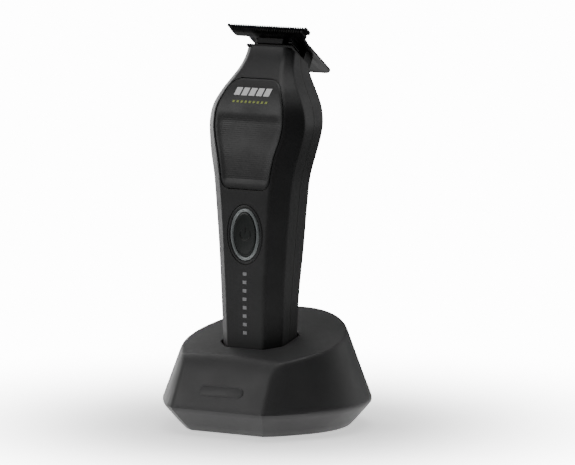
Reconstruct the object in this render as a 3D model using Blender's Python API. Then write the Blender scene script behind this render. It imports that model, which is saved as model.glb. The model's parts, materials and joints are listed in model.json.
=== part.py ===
"""Cordless T-blade hair clipper standing in its charging dock.

Metres, +Z up. The origin is on the floor under the middle of the dock, and the front faces -Y.
"""

import math

import bmesh
import bpy
from mathutils import Matrix, Vector

MM = 0.001

# Fits between pieces, in millimetres like every size below
GAP = 0.3

# Handle: cross-sections from the foot to the blade end.
# z, half width, half width of the front and back flats, front y, back y, half depth of the side flats
HANDLE_STATIONS = (
    (17.0, 14.3, 8.6, -19.0, 6.0, 6.4),
    (57.0, 15.8, 9.4, -20.1, 7.4, 7.2),
    (80.0, 17.1, 10.6, -19.9, 9.5, 8.2),
    (100.0, 18.7, 11.8, -19.9, 10.2, 8.4),
    (112.0, 20.0, 13.0, -19.8, 10.9, 8.4),
    (122.0, 22.3, 14.8, -19.0, 12.6, 8.4),
    (130.0, 23.8, 17.0, -17.6, 14.2, 8.4),
    (136.0, 24.2, 17.8, -16.7, 15.0, 8.4),
    (143.0, 22.8, 17.2, -15.4, 15.4, 8.4),
    (150.0, 19.1, 14.5, -12.4, 15.9, 8.0),
    (154.5, 16.2, 12.2, -9.2, 16.4, 7.6),
    (159.0, 13.8, 10.2, -5.4, 16.9, 6.8),
    (164.0, 12.4, 8.8, -1.6, 17.4, 6.0),
    (169.0, 12.0, 8.2, 0.8, 17.8, 5.6),
    (176.0, 12.0, 8.2, 2.4, 18.0, 5.4),
)
SHELL_WALL = 2.2
CAP_HEIGHT = 3.2
HANDLE_FOOT = HANDLE_STATIONS[0][0]
SHELL_FOOT = HANDLE_FOOT + CAP_HEIGHT + GAP

# Inset grip panel on the front
PANEL_FOOT = 107.3
PANEL_TOP = 155.0
PANEL_MARGIN = 0.7
PANEL_THICK = 1.2
PANEL_CORNER = 3.0

# Power button, an upright oval
BUTTON_Z = 87.2
BUTTON_HALF = (5.5, 9.8)
LIGHT_RING_WIDTH = 1.5
BEZEL_WIDTH = 1.2
BEZEL_DEPTH = 1.5
CAP_THICK = 1.6
BUTTON_TRAVEL = 0.6

# Blade set, in its own tilted frame
BLADE_TIP = (0.0, -0.3, 178.0)
BLADE_TILT = math.radians(33.0)
BLADE_HALF_WIDTH = 20.0
BLADE_LENGTH = 42.0
COMB_SEAT_DEPTH = 14.0
STEM_STEP = 0.4
BLADE_THICK = 1.2
BAR_DEPTH = 6.5
STEM_HALF_WIDTH = 14.0
STEM_CORNER = 4.0
CUTTER_THICK = 1.3
CUTTER_STROKE = 0.9
CUTTER_SETBACK = 0.5
NECK_FACE_N = -7.5
TOOTH_PITCH = 1.6
TOOTH_SLOT = 0.7
TOOTH_DEPTH = 2.2

# Drive train
MOTOR_TILT = math.radians(9.0)
MOTOR_PIVOT = (0.0, -1.2, 124.0)
MOTOR_RADIUS = 8.0
MOTOR_LENGTH = 26.0
SHAFT_RADIUS = 1.0
CAM_RADIUS = 2.4
CAM_HEIGHT = 3.0
PIN_RADIUS = 0.8
CAM_PLACE = 35.6
PIN_LENGTH = 5.2

# Electrics in the handle
CELL_RADIUS = 8.15
CELL_LENGTH = 65.0
CELL_FOOT = 31.0
CELL_Y = -4.6
BOARD_HALF_WIDTH = 8.6
BOARD_THICK = 1.1
CONTACT_X = 7.0
CONTACT_RADIUS = 1.6

# Dock
DOCK_RADIUS = 46.8
DOCK_FRONT = 44.8
FRONT_HALF_WIDTH = 23.1
CORNER_POINT = (27.7, 41.3)
BLEND_ANGLE = math.radians(60.0)
CREASE_Z = 11.5
FOOT_SHARE = 0.8
DOCK_EDGE_Z = 0.8
WALL_LEAN = 0.36
FRONT_SLOPE = 1.895
BAND_SLOPE_X = 1.394
BAND_SLOPE_Y = 1.832
ROOF_HEIGHT = 41.4
ROOF_SLOPE = 0.22
ROOF_CROWN = 0.0015
DOCK_WALL = 2.4
SOCKET_GAP = 0.8
SOCKET_LIP = 3.5
CUP_WALL = 1.5
CUP_FLOOR = 2.4
BASE_THICK = 2.4
BASE_INSET = 3.2
FOOT_PAD_RADIUS = 4.5
FOOT_PAD_RING = 27.0
DOCK_SCREW_RING = 31.5
BOARD_Z = 10.6
INLET_SIZE = (9.0, 7.4, 3.3)
PIN_TRAVEL = 0.8

PARTS = "hair_clipper"
CUTTERS = "cutters"


# ---------------------------------------------------------------- scene and materials


def clear_scene():
    for obj in list(bpy.data.objects):
        bpy.data.objects.remove(obj, do_unlink=True)


def make_collection(name, hidden):
    group = bpy.data.collections.new(name)
    group.hide_render = hidden
    bpy.context.scene.collection.children.link(group)
    return group


def make_material(name, colour, roughness, metallic=0.0):
    material = bpy.data.materials.new(name)
    material.use_nodes = True
    shader = material.node_tree.nodes["Principled BSDF"]
    shader.inputs["Base Color"].default_value = (*colour, 1.0)
    shader.inputs["Roughness"].default_value = roughness
    shader.inputs["Metallic"].default_value = metallic
    return material


def make_materials():
    return {
        "soft_black": make_material("soft_black", (0.030, 0.030, 0.031), 0.5),
        "panel_black": make_material("panel_black", (0.026, 0.026, 0.027), 0.45),
        "inner_plastic": make_material("inner_plastic", (0.06, 0.06, 0.065), 0.6),
        "ring_grey": make_material("ring_grey", (0.28, 0.29, 0.29), 0.35, 0.4),
        "button_black": make_material("button_black", (0.035, 0.040, 0.038), 0.4),
        "blade_black": make_material("blade_black", (0.020, 0.020, 0.021), 0.35, 0.7),
        "steel": make_material("steel", (0.55, 0.55, 0.56), 0.3, 1.0),
        "brass": make_material("brass", (0.75, 0.58, 0.28), 0.3, 1.0),
        "board_green": make_material("board_green", (0.03, 0.16, 0.07), 0.5),
        "cell_wrap": make_material("cell_wrap", (0.05, 0.17, 0.36), 0.4),
        "rubber": make_material("rubber", (0.02, 0.02, 0.02), 0.85),
    }


# ---------------------------------------------------------------- shape helpers


def add_mesh(name, mesh, material, group):
    obj = bpy.data.objects.new(name, mesh)
    group.objects.link(obj)
    if material is not None:
        mesh.materials.append(material)
    return obj


def mesh_from_bmesh(name, bm):
    bmesh.ops.recalc_face_normals(bm, faces=bm.faces)
    mesh = bpy.data.meshes.new(name)
    bm.to_mesh(mesh)
    bm.free()
    return mesh


def loft_mesh(name, rings, looped=False):
    """A closed solid through rings of (x, y, z) points in millimetres, all with the same count."""
    bm = bmesh.new()
    loops = [[bm.verts.new(Vector(point) * MM) for point in ring] for ring in rings]
    pairs = list(zip(loops, loops[1:]))
    if looped:
        pairs.append((loops[-1], loops[0]))
    else:
        bm.faces.new(loops[0])
        bm.faces.new(loops[-1])
    for low, high in pairs:
        count = len(low)
        for i in range(count):
            j = (i + 1) % count
            bm.faces.new((low[i], low[j], high[j], high[i]))
    return mesh_from_bmesh(name, bm)


def box_mesh(name, low, high):
    """A box between two corners, in millimetres."""
    bm = bmesh.new()
    size = [high[i] - low[i] for i in range(3)]
    middle = [(high[i] + low[i]) / 2 for i in range(3)]
    place = Matrix.Translation(Vector(middle) * MM) @ Matrix.Diagonal((*(s * MM for s in size), 1.0))
    bmesh.ops.create_cube(bm, size=1.0, matrix=place)
    return mesh_from_bmesh(name, bm)


def rod_mesh(name, radius, low, high, segments=24, top_radius=None):
    """A round bar on +Z from low to high, in millimetres, tapered when top_radius is given."""
    bm = bmesh.new()
    bmesh.ops.create_cone(
        bm,
        cap_ends=True,
        segments=segments,
        radius1=radius * MM,
        radius2=(radius if top_radius is None else top_radius) * MM,
        depth=(high - low) * MM,
        matrix=Matrix.Translation((0, 0, (low + high) / 2 * MM)),
    )
    return mesh_from_bmesh(name, bm)


def plate_mesh(name, outline, low, high):
    """An outline of (x, y) points, extruded from z = low to z = high."""
    rings = [[(x, y, z) for x, y in outline] for z in (low, high)]
    return loft_mesh(name, rings)


def oval(half_width, half_height, count=40):
    turn = 2 * math.pi / count
    return [(half_width * math.cos(i * turn), half_height * math.sin(i * turn)) for i in range(count)]


def boolean(obj, other, operation):
    modifier = obj.modifiers.new(operation.lower(), "BOOLEAN")
    modifier.operation = operation
    modifier.object = other
    modifier.solver = "EXACT"


class Builder:
    """Puts pieces and cutters in their collections."""

    def __init__(self):
        self.parts = make_collection(PARTS, hidden=False)
        self.cutters = make_collection(CUTTERS, hidden=True)
        self.materials = make_materials()

    def piece(self, name, mesh, material, frame=None):
        obj = add_mesh(name, mesh, self.materials[material], self.parts)
        self.place(obj, frame)
        return obj

    def helper(self, name, mesh, frame=None):
        obj = add_mesh(name, mesh, None, self.cutters)
        obj.hide_render = True
        obj.display_type = "WIRE"
        self.place(obj, frame)
        return obj

    def place(self, obj, frame):
        if frame is not None:
            obj.matrix_world = frame

    def cut(self, obj, name, mesh, frame=None):
        boolean(obj, self.helper(name, mesh, frame), "DIFFERENCE")

    def join(self, obj, name, mesh, frame=None):
        boolean(obj, self.helper(name, mesh, frame), "UNION")


def offset_frame(x, y, z, rotation=None):
    frame = Matrix.Translation(Vector((x, y, z)) * MM)
    return frame if rotation is None else frame @ rotation


def facing_front():
    """Turns +Z to -Y, for pieces set into the front face; local +Y is world +Z."""
    return Matrix.Rotation(math.radians(90.0), 4, "X")


def facing_back():
    """Turns +Z to +Y, for screws put in from behind."""
    return Matrix.Rotation(math.radians(-90.0), 4, "X")


# ---------------------------------------------------------------- handle sections


def blend(low, high, share):
    return tuple(a + (b - a) * share for a, b in zip(low, high))


def station_at(z):
    for low, high in zip(HANDLE_STATIONS, HANDLE_STATIONS[1:]):
        if z <= high[0]:
            return blend(low, high, (z - low[0]) / (high[0] - low[0]))
    return HANDLE_STATIONS[-1]


def section_corners(z):
    """The eight corners of the handle at height z, from the right side's back corner through the front."""
    _, half, flat, front, back, side = station_at(z)
    middle = (front + back) / 2
    return [
        (half, middle + side),
        (half, middle - side),
        (flat, front),
        (-flat, front),
        (-half, middle - side),
        (-half, middle + side),
        (-flat, back),
        (flat, back),
    ]


def inset(points, distance):
    """A convex clockwise outline moved inwards by distance."""
    moved = []
    count = len(points)
    for i in range(count):
        before = Vector(points[i - 1])
        here = Vector(points[i])
        after = Vector(points[(i + 1) % count])
        first = (here - before).normalized()
        second = (after - here).normalized()
        inward_first = Vector((first.y, -first.x))
        inward_second = Vector((second.y, -second.x))
        share = distance / (1 + inward_first.dot(inward_second))
        moved.append(tuple(here + (inward_first + inward_second) * share))
    return moved


def part_line(z):
    """The y where the front and rear shells meet."""
    _, _, _, front, back, _ = station_at(z)
    return (front + back) / 2


def half_ring(z, front_half):
    """A C-shaped ring at height z, for the front or the rear shell."""
    outer = section_corners(z)
    inner = inset(outer, SHELL_WALL)
    split = part_line(z) + (-GAP / 2 if front_half else GAP / 2)
    corners = slice(1, 5) if front_half else slice(5, 8)
    if front_half:
        outside = [(outer[0][0], split)] + outer[corners] + [(outer[5][0], split)]
        inside = [(inner[0][0], split)] + inner[corners] + [(inner[5][0], split)]
    else:
        outside = [(outer[5][0], split)] + outer[corners] + [outer[0], (outer[0][0], split)]
        inside = [(inner[5][0], split)] + inner[corners] + [inner[0], (inner[0][0], split)]
    return [(x, y, z) for x, y in outside + inside[::-1]]


def shell_heights():
    return [SHELL_FOOT] + [station[0] for station in HANDLE_STATIONS[1:]]


def blade_frame():
    """Local x across, y back along the blade, z out of its upper face; zero at the tooth line's middle."""
    return offset_frame(*BLADE_TIP, Matrix.Rotation(-BLADE_TILT, 4, "X"))


def motor_frame():
    return offset_frame(*MOTOR_PIVOT, Matrix.Rotation(-MOTOR_TILT, 4, "X"))


# ---------------------------------------------------------------- handle casing


def panel_half_width(z):
    """Follows the front flat, with rounded ends."""
    width = station_at(z)[2] - PANEL_MARGIN
    end = min(z - PANEL_FOOT, PANEL_TOP - z)
    if end >= PANEL_CORNER:
        return width
    return width - PANEL_CORNER + math.sqrt(max(0.0, PANEL_CORNER**2 - (PANEL_CORNER - end) ** 2))


def panel_heights():
    inner = [station[0] for station in HANDLE_STATIONS if PANEL_FOOT + 3.1 < station[0] < PANEL_TOP - 3.1]
    low = [PANEL_FOOT, PANEL_FOOT + PANEL_CORNER / 4, PANEL_FOOT + PANEL_CORNER]
    high = [PANEL_TOP - PANEL_CORNER, PANEL_TOP - PANEL_CORNER / 4, PANEL_TOP]
    return low + inner + high


def panel_rings(grow, proud, depth):
    """Rectangles that follow the curved front, for the panel (grow 0) and its recess."""
    rings = []
    heights = panel_heights()
    for i, z in enumerate(heights):
        x = panel_half_width(z) + grow
        front = station_at(z)[3]
        level = z - grow if i == 0 else z + grow if i == len(heights) - 1 else z
        near, far = front - proud, front + depth
        rings.append([(-x, near, level), (x, near, level), (x, far, level), (-x, far, level)])
    return rings


def neck_cutter_mesh():
    return box_mesh("neck", (-40, -60, NECK_FACE_N), (40, 80, 60))


def button_front():
    return station_at(BUTTON_Z)[3]


def grown(half, amount):
    return (half[0] + amount, half[1] + amount)


LIGHT_INNER = grown(BUTTON_HALF, GAP)
LIGHT_OUTER = grown(LIGHT_INNER, LIGHT_RING_WIDTH)
BEZEL_INNER = grown(LIGHT_OUTER, GAP)
BEZEL_OUTER = grown(BEZEL_INNER, BEZEL_WIDTH)


def button_frame():
    return offset_frame(0, button_front(), BUTTON_Z, facing_front())


def build_shells(kit):
    for name, front_half in (("front_shell", True), ("rear_shell", False)):
        rings = [half_ring(z, front_half) for z in shell_heights()]
        shell = kit.piece(name, loft_mesh(name, rings), "soft_black")
        kit.cut(shell, name + "_neck_cut", neck_cutter_mesh(), blade_frame())
        if front_half:
            recess = loft_mesh("recess", panel_rings(GAP, 4.0, PANEL_THICK + GAP))
            kit.cut(shell, "panel_recess", recess)
            hole = plate_mesh("hole", oval(*grown(BEZEL_OUTER, GAP)), -4.0, 4.0)
            kit.cut(shell, "button_hole", hole, button_frame())


def build_front_trim(kit):
    kit.piece("grip_panel", loft_mesh("grip_panel", panel_rings(0.0, 0.1, PANEL_THICK)), "panel_black")
    oval_ring(kit, "button_bezel", BEZEL_OUTER, BEZEL_INNER, 0.2, "soft_black")
    oval_ring(kit, "button_light_ring", LIGHT_OUTER, LIGHT_INNER, 0.4, "ring_grey")
    cap = plate_mesh("power_button", oval(*BUTTON_HALF), -CAP_THICK + 0.2, 0.2)
    kit.piece("power_button", cap, "button_black", button_frame())


def oval_ring(kit, name, outer, inner, proud, material):
    back = proud - BEZEL_DEPTH
    levels = ((outer, proud), (inner, proud), (inner, back), (outer, back))
    rings = [[(x, y, z) for x, y in oval(*half)] for half, z in levels]
    kit.piece(name, loft_mesh(name, rings, looped=True), material, button_frame())


def build_end_cap(kit):
    levels = ((0.0, 1.4), (0.5, 0.5), (1.4, 0.0), (CAP_HEIGHT, 0.0))
    rings = []
    for rise, amount in levels:
        z = HANDLE_FOOT + rise
        rings.append([(x, y, z) for x, y in inset(section_corners(z), amount)])
    spigot_top = SHELL_FOOT + 2.5
    for z in (HANDLE_FOOT + CAP_HEIGHT, spigot_top):
        rings.append([(x, y, z) for x, y in inset(section_corners(z), SHELL_WALL + GAP)])
    cap = kit.piece("end_cap", loft_mesh("end_cap", rings), "soft_black")
    low, high = HANDLE_FOOT - 2, spigot_top + 2
    for side in (-1, 1):
        hole = rod_mesh("contact_hole", CONTACT_RADIUS + GAP, low, high)
        kit.cut(cap, "contact_hole", hole, offset_frame(side * CONTACT_X, foot_y(), 0))
    window = box_mesh("usb_window", (-4.5, -1.6, low), (4.5, 1.6, high))
    kit.cut(cap, "usb_window", window, offset_frame(0, foot_y(), 0))


def foot_y():
    return part_line(HANDLE_FOOT)


def build_handle_contacts(kit):
    top = SHELL_FOOT + 2.0
    for side, word in ((-1, "left"), (1, "right")):
        rod = rod_mesh("charge_contact", CONTACT_RADIUS, HANDLE_FOOT + 0.1, top, 16)
        kit.piece("charge_contact_" + word, rod, "brass", offset_frame(side * CONTACT_X, foot_y(), 0))
    can = box_mesh("usb_port", (-4.2, -1.3, HANDLE_FOOT + 0.3), (4.2, 1.3, top))
    port = kit.piece("usb_port", can, "steel")
    port.matrix_world = offset_frame(0, foot_y(), 0)
    mouth = box_mesh("usb_mouth", (-3.6, -0.7, HANDLE_FOOT - 1), (3.6, 0.7, HANDLE_FOOT + 4.5))
    kit.cut(port, "usb_mouth", mouth, offset_frame(0, foot_y(), 0))


# ---------------------------------------------------------------- handle insides


def build_chassis(kit):
    front = CELL_Y - CELL_RADIUS - 2.3
    body = box_mesh("chassis", (-9.6, front, 24.2), (9.6, -2.0, CELL_FOOT + CELL_LENGTH + 4.0))
    chassis = kit.piece("chassis", body, "inner_plastic")
    bed = rod_mesh("cell_bed", CELL_RADIUS + GAP, CELL_FOOT - GAP, CELL_FOOT + CELL_LENGTH + GAP, 32)
    kit.cut(chassis, "cell_bed", bed, offset_frame(0, CELL_Y, 0))
    foot_front = station_at(25.0)[3] + SHELL_WALL + GAP
    foot = box_mesh("chassis_foot", (-6, foot_front, 25.0), (6, front + 0.5, 29.0))
    kit.join(chassis, "chassis_foot", foot)
    cell = rod_mesh("battery_cell", CELL_RADIUS, CELL_FOOT, CELL_FOOT + CELL_LENGTH, 32)
    kit.piece("battery_cell", cell, "cell_wrap", offset_frame(0, CELL_Y, 0))
    board_back = front - GAP
    low = (-BOARD_HALF_WIDTH, board_back - BOARD_THICK, 58.0)
    kit.piece("main_board", box_mesh("main_board", low, (BOARD_HALF_WIDTH, board_back, 99.0)), "board_green")
    switch_back = board_back - BOARD_THICK - GAP
    switch_front = button_front() + CAP_THICK - 0.2 + BUTTON_TRAVEL + 0.2
    switch = box_mesh("tact_switch", (-2.2, switch_front, BUTTON_Z - 2.2), (2.2, switch_back, BUTTON_Z + 2.2))
    kit.piece("tact_switch", switch, "steel")


def build_motor(kit):
    frame = motor_frame()
    kit.piece("motor_can", rod_mesh("motor_can", MOTOR_RADIUS, 0, MOTOR_LENGTH, 32), "steel", frame)
    plate_low = MOTOR_LENGTH + GAP
    plate_high = plate_low + 1.6
    plate = box_mesh("motor_bracket", (-15.0, -6.0, plate_low), (15.0, 6.0, plate_high))
    bracket = kit.piece("motor_bracket", plate, "inner_plastic", frame)
    kit.cut(bracket, "bracket_hole", rod_mesh("hole", 3.2, plate_low - 2, plate_high + 2), frame)
    shaft = rod_mesh("motor_shaft", SHAFT_RADIUS, MOTOR_LENGTH + GAP, CAM_PLACE + 0.5, 16)
    kit.piece("motor_shaft", shaft, "steel", frame)
    cam_low = CAM_PLACE + 0.8
    cam = rod_mesh("eccentric_cam", CAM_RADIUS, cam_low, cam_low + CAM_HEIGHT, 24)
    cam = kit.piece("eccentric_cam", cam, "brass", frame)
    pin = rod_mesh("cam_pin", PIN_RADIUS, cam_low + CAM_HEIGHT - 0.5, cam_low + CAM_HEIGHT + PIN_LENGTH, 16)
    kit.join(cam, "cam_pin", pin, frame @ offset_frame(CUTTER_STROKE, 0, 0))


def build_case_screws(kit, rear_shell):
    for side, word in ((-1, "left"), (1, "right")):
        x, z = side * 12.0, 124.0
        back = station_at(z)[4]
        frame = offset_frame(x, back, z, facing_back())
        head_hole = rod_mesh("head_hole", 2.6, -1.2, 4.0)
        kit.cut(rear_shell, "head_hole_" + word, head_hole, frame)
        shank_hole = rod_mesh("shank_hole", 1.4, -6.0, 2.0)
        kit.cut(rear_shell, "shank_hole_" + word, shank_hole, frame)
        screw = kit.piece("case_screw_" + word, rod_mesh("head", 2.2, -0.9, 0.1, 20), "steel", frame)
        kit.join(screw, "case_shank_" + word, rod_mesh("shank", 1.1, -6.5, -0.5, 16), frame)


# ---------------------------------------------------------------- blade set


def toothed_edge(half_width, tip, root):
    """Points of a comb edge from -x to +x, teeth pointing to -y."""
    count = int((2 * half_width - TOOTH_SLOT) // TOOTH_PITCH)
    start = -count * TOOTH_PITCH / 2
    points = []
    for i in range(count):
        slot = start + (i + 0.5) * TOOTH_PITCH
        points += [(slot - TOOTH_SLOT / 2, tip), (slot - TOOTH_SLOT / 2, root)]
        points += [(slot + TOOTH_SLOT / 2, root), (slot + TOOTH_SLOT / 2, tip)]
    return [(-half_width, tip)] + points + [(half_width, tip)]


def blade_outline(half_width, tip, bar_back, stem_half, stem_back, corner):
    edge = toothed_edge(half_width, tip, tip + TOOTH_DEPTH)
    fillet = 4.0
    right = [(half_width, bar_back)]
    steps = 4
    for i in range(steps + 1):
        turn = math.pi / 2 * i / steps
        right.append((stem_half + fillet * (1 - math.sin(turn)), bar_back + fillet * (1 - math.cos(turn))))
    right += [(stem_half, stem_back - corner), (stem_half - corner, stem_back)]
    return edge + right + [(-x, y) for x, y in reversed(right)]


def build_blades(kit):
    frame = blade_frame()
    stem = (STEM_HALF_WIDTH, BLADE_LENGTH, STEM_CORNER)
    fixed_outline = blade_outline(BLADE_HALF_WIDTH, 0.0, BAR_DEPTH - 1.0, *stem)
    plate = plate_mesh("fixed_blade", fixed_outline, -BLADE_THICK, 0.0)
    fixed = kit.piece("fixed_blade", plate, "blade_black", frame)
    sunk_stem = box_mesh("stem_step", (-30, COMB_SEAT_DEPTH, -STEM_STEP), (30, 60, 3))
    kit.cut(fixed, "stem_step", sunk_stem, frame)
    for side, word in ((-1, "left"), (1, "right")):
        screw_frame = frame @ offset_frame(side * 8.0, 22.5, -STEM_STEP)
        kit.cut(fixed, "blade_hole_" + word, rod_mesh("blade_hole", 1.8, -3, 3), screw_frame)
        head = rod_mesh("head", 3.0, GAP, 1.5, 24, 2.6)
        screw = kit.piece("blade_screw_" + word, head, "steel", screw_frame)
        kit.join(screw, "blade_shank_" + word, rod_mesh("shank", 1.5, -0.7, 0.6, 16), screw_frame)
    cutter_top = -BLADE_THICK - GAP
    cutter_low = cutter_top - CUTTER_THICK
    half = BLADE_HALF_WIDTH - 2 * CUTTER_STROKE
    cutter_outline = blade_outline(half, CUTTER_SETBACK, BAR_DEPTH, 9.0, 17.0, 2.0)
    plate = plate_mesh("cutter_blade", cutter_outline, cutter_low, cutter_top)
    kit.piece("cutter_blade", plate, "blade_black", frame)
    yoke_top = cutter_low - GAP
    yoke = box_mesh("cutter_carrier", (-6.3, 6.4, yoke_top - 1.1), (6.3, 16.6, yoke_top))
    yoke = kit.piece("cutter_carrier", yoke, "inner_plastic", frame)
    bar = box_mesh("bar", (-6.3, 6.1, yoke_top - 2.6), (6.3, 8.0, yoke_top - 0.2))
    kit.join(yoke, "carrier_bar", bar, frame)
    slot = PIN_RADIUS + 2 * CUTTER_STROKE + GAP
    for side in (-1, 1):
        near, far = sorted((side * slot, side * (slot + 2.2)))
        prong = box_mesh("prong", (near, 8.6, yoke_top - 3.9), (far, 14.6, yoke_top - 0.5))
        kit.join(yoke, "prong", prong, frame)
    build_blade_bracket(kit, frame, cutter_top)
    build_tension_spring(kit, frame, cutter_low)


def build_blade_bracket(kit, frame, seat):
    low = NECK_FACE_N + GAP
    plate = box_mesh("blade_bracket", (-11.4, 6.5, low), (11.4, 26.0, low + 1.0))
    bracket = kit.piece("blade_bracket", plate, "inner_plastic", frame)
    kit.join(bracket, "bracket_block", box_mesh("block", (-11.4, 19.0, low + 0.3), (11.4, 26.0, seat)), frame)
    kit.cut(bracket, "bracket_window", box_mesh("window", (-7.0, 8.1, low - 2), (7.0, 17.2, low + 3)), frame)


def build_tension_spring(kit, frame, cutter_low):
    top = cutter_low - GAP
    low = top - 0.8
    back = box_mesh("tension_spring", (-9.4, 17.2, low), (9.4, 18.7, top))
    spring = kit.piece("tension_spring", back, "steel", frame)
    for side in (-1, 1):
        near, far = sorted((side * 7.7, side * 9.2))
        kit.join(spring, "spring_arm", box_mesh("arm", (near, 9.0, low + 0.1), (far, 17.8, top - 0.1)), frame)


# ---------------------------------------------------------------- dock


def dock_outline_radius(angle):
    """Plan radius of the widest line; angle 0 is the front and grows towards +X, mirrored."""
    turn = abs(angle)
    flat_end = math.atan2(FRONT_HALF_WIDTH, DOCK_FRONT)
    corner_end = math.atan2(*CORNER_POINT)
    if turn <= flat_end:
        return DOCK_FRONT / math.cos(turn)
    if turn <= corner_end:
        run = (CORNER_POINT[0] - FRONT_HALF_WIDTH, CORNER_POINT[1] - DOCK_FRONT)
        cross = FRONT_HALF_WIDTH * run[1] - DOCK_FRONT * run[0]
        return cross / (math.sin(turn) * run[1] - math.cos(turn) * run[0])
    corner_radius = math.hypot(*CORNER_POINT)
    share = max(0.0, (BLEND_ANGLE - turn) / (BLEND_ANGLE - corner_end))
    return DOCK_RADIUS + (corner_radius - DOCK_RADIUS) * share**2


def dock_faces(x, y, angle):
    """Heights at (x, y) of the dock's front face, corner band, roof and side wall."""
    across = abs(x)
    front = CREASE_Z + (y + DOCK_FRONT) * FRONT_SLOPE
    band = CREASE_Z - BAND_SLOPE_X * (across - FRONT_HALF_WIDTH) + BAND_SLOPE_Y * (y + DOCK_FRONT)
    roof = ROOF_HEIGHT + ROOF_SLOPE * y - ROOF_CROWN * x * x
    wall = CREASE_Z + (dock_outline_radius(angle) - math.hypot(x, y)) / WALL_LEAN
    return front, band, roof, wall


def dock_point(angle, radius):
    return radius * math.sin(angle), -radius * math.cos(angle)


def dock_height(angle, radius):
    x, y = dock_point(angle, radius)
    front, band, roof, wall = dock_faces(x, y, angle)
    if abs(angle) <= math.atan2(*CORNER_POINT):
        wall = front
    return min(front, band, roof, wall)


def shoulder_radius(angle):
    """Where the side wall gives way to the faces above it."""
    low, high = 22.0, dock_outline_radius(angle)
    for _ in range(30):
        middle = (low + high) / 2
        x, y = dock_point(angle, middle)
        front, band, roof, wall = dock_faces(x, y, angle)
        outer = min(front, band) if abs(angle) <= math.atan2(*CORNER_POINT) else wall
        inner = roof if abs(angle) <= math.atan2(*CORNER_POINT) else min(front, band, roof)
        if outer > inner:
            low = middle
        else:
            high = middle
    return low


def socket_outline(grow):
    return inset(section_corners(40.0), -(SOCKET_GAP + grow))


def ray_radius(outline, angle):
    """Distance from the dock's middle to a convex outline along angle."""
    dx, dy = dock_point(angle, 1.0)
    for start, end in zip(outline, outline[1:] + outline[:1]):
        ex, ey = end[0] - start[0], end[1] - start[1]
        cross = dx * ey - dy * ex
        if abs(cross) < 1e-9:
            continue
        distance = (start[0] * ey - start[1] * ex) / cross
        share = (start[0] * dy - start[1] * dx) / cross
        if distance > 0 and -1e-6 <= share <= 1 + 1e-6:
            return distance
    raise ValueError("outline does not surround the dock's middle")


def dock_angles():
    special = [math.atan2(FRONT_HALF_WIDTH, DOCK_FRONT), math.atan2(*CORNER_POINT)]
    rim = [math.atan2(abs(x), -y) for x, y in socket_outline(0.0)]
    even = [math.radians(step) for step in (*range(0, 28, 9), *range(31, 61, 4), *range(63, 181, 9))]
    clear = [turn for turn in even + rim if all(abs(turn - other) > 0.035 for other in special)]
    half = sorted(special + clear)
    kept = [half[0]]
    for turn in half[1:]:
        if turn - kept[-1] > 0.03:
            kept.append(turn)
    return [-turn for turn in reversed(kept[1:-1])] + kept


def build_dock_shell(kit):
    angles = dock_angles()
    rim = socket_outline(0.0)
    rows = []
    foot = [(a, dock_outline_radius(a) * FOOT_SHARE, DOCK_EDGE_Z) for a in angles]
    crease = [(a, dock_outline_radius(a), CREASE_Z) for a in angles]
    rows += [foot, crease]
    for share in (0.0, 0.35, 0.7, 1.0):
        row = []
        for a in angles:
            outer, inner = shoulder_radius(a), ray_radius(rim, a)
            radius = outer + (inner - outer) * share
            row.append((a, radius, dock_height(a, radius)))
        rows.append(row)
    inside = []
    for share in (1.0, 0.7, 0.35, 0.0):
        row = []
        for a in angles:
            outer, inner = shoulder_radius(a) - DOCK_WALL, ray_radius(rim, a)
            radius = outer + (inner - outer) * share
            row.append((a, radius, dock_height(a, radius + DOCK_WALL * 0.3 * (1 - share)) - DOCK_WALL))
        inside.append(row)
    inside.append([(a, dock_outline_radius(a) - DOCK_WALL, CREASE_Z) for a in angles])
    inside.append([(a, radius - DOCK_WALL, z) for a, radius, z in foot])
    rings = [[(*dock_point(a, radius), z) for a, radius, z in row] for row in rows + inside]
    shell = kit.piece("dock_shell", loft_mesh("dock_shell", rings, looped=True), "soft_black")
    width, _, height = INLET_SIZE
    low = BOARD_Z + 1.2 + GAP
    half = width / 2 + GAP
    window = box_mesh("inlet_window", (-half, 30, low - GAP), (half, 60, low + height + GAP))
    kit.cut(shell, "inlet_window", window)
    for index, (x, y) in enumerate(screw_places()):
        post = rod_mesh("screw_post", 3.0, BASE_THICK + DOCK_EDGE_Z + GAP, post_top(x, y), 16)
        kit.join(shell, f"screw_post_{index}", post, offset_frame(x, y, 0))
    for index, (x, y) in enumerate(screw_places()):
        pilot = rod_mesh("pilot", 1.3, 0, 12.0, 16)
        kit.cut(shell, f"pilot_{index}", pilot, offset_frame(x, y, 0))


def screw_places():
    turns = [math.radians(d) for d in (50, 130, 230, 310)]
    return [(DOCK_SCREW_RING * math.sin(t), -DOCK_SCREW_RING * math.cos(t)) for t in turns]


def post_top(x, y):
    angle = math.atan2(x, -y)
    return dock_height(angle, math.hypot(x, y) + 3.0) - DOCK_WALL / 2


def build_cup(kit):
    bottom = HANDLE_FOOT - GAP - CUP_FLOOR
    outer = socket_outline(CUP_WALL)
    top_ring = []
    for x, y in outer:
        angle = math.atan2(x, -y)
        radius = math.hypot(x, y)
        top_ring.append((x, y, dock_height(angle, radius) - DOCK_WALL - GAP - 1.2))
    rings = [[(x, y, bottom) for x, y in outer], top_ring]
    cup = kit.piece("socket_cup", loft_mesh("socket_cup", rings), "inner_plastic")
    bore = plate_mesh("cup_bore", socket_outline(0.0), HANDLE_FOOT - GAP, 80.0)
    kit.cut(cup, "cup_bore", bore)
    front, back = foot_y() - 3.3, foot_y() + 3.3
    window = box_mesh("cup_window", (-10.8, front, bottom - 4), (10.8, back, HANDLE_FOOT + 4))
    kit.cut(cup, "cup_window", window)


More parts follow.
